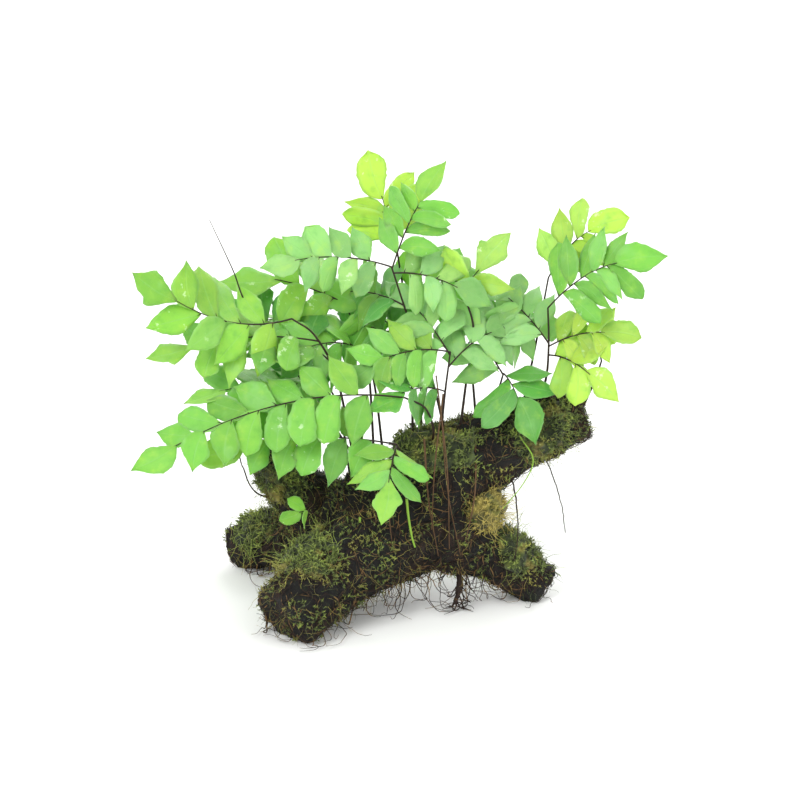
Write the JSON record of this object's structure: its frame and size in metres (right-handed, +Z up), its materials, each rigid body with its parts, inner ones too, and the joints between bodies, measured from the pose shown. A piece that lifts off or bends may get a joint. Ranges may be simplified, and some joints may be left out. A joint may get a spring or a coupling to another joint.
{
  "type": "fern on mossy driftwood",
  "caption": "Leafy fern with wiry dark stalks growing from a creeping stem on a forked, moss-covered piece of driftwood that stands on its legs",
  "frame": {"origin": "on the surface it stands on, under the middle of the whole piece", "axes": "+Z up, +X to the viewer's right along the longest side, -Y towards the viewer"},
  "size_m": [0.3142, 0.2068, 0.2759],
  "materials": {
    "bark": "rough dark wet bark",
    "rhizome": "matt scaly brown",
    "stalk": "smooth wiry dark brown",
    "root": "matt fibrous",
    "leaf": "satin, slightly translucent leaf",
    "moss": "soft matt moss",
    "dry_moss": "dry yellow moss"
  },
  "bodies": {
    "root": {"bare_shoot": "stalk", "driftwood": "bark", "left_root": "root", "moss_crown": "moss", "moss_fork": "dry_moss", "moss_front_leg": "moss", "moss_left_arm": "moss", "moss_left_stub": "moss", "moss_right_arm": "moss", "moss_right_leg": "moss", "moss_sprout": "leaf", "rhizome": "rhizome", "root_knot": "root", "spray_back_centre": "leaf", "spray_back_left": "leaf", "spray_back_right": "leaf", "spray_centre_high": "leaf", "spray_centre_left": "leaf", "spray_centre_left_high": "leaf", "spray_centre_level": "leaf", "spray_centre_low": "leaf", "spray_centre_right": "leaf", "spray_centre_right_low": "leaf", "spray_far_left_high": "leaf", "spray_front_drop": "leaf", "spray_front_left": "leaf", "spray_high_left": "leaf", "spray_high_right": "leaf", "spray_left_behind": "leaf", "spray_left_low_mid": "leaf", "spray_left_mid": "leaf", "spray_low_left": "leaf", "spray_mid_right": "leaf", "spray_right_end": "leaf", "spray_right_high": "leaf", "spray_right_high_back": "leaf", "spray_right_low": "leaf", "spray_right_mid": "leaf", "spray_right_mid_left": "leaf", "spray_top_back": "leaf", "spray_top_right": "leaf", "spray_upper_left": "leaf", "stalk_back_centre": "stalk", "stalk_back_left": "stalk", "stalk_back_right": "stalk", "stalk_centre": "stalk", "stalk_far_left": "stalk", "stalk_front_left": "stalk", "stalk_high": "stalk", "stalk_left_mid": "stalk", "stalk_low_left": "stalk", "stalk_mid_right": "stalk", "stalk_right": "stalk", "stalk_right_back": "stalk", "stalk_right_centre": "stalk", "stalk_right_end": "stalk", "stalk_top_back": "stalk", "stalk_upper_left": "stalk", "trailing_root_far": "root", "trailing_root_near": "root"}
  },
  "joints": []
}
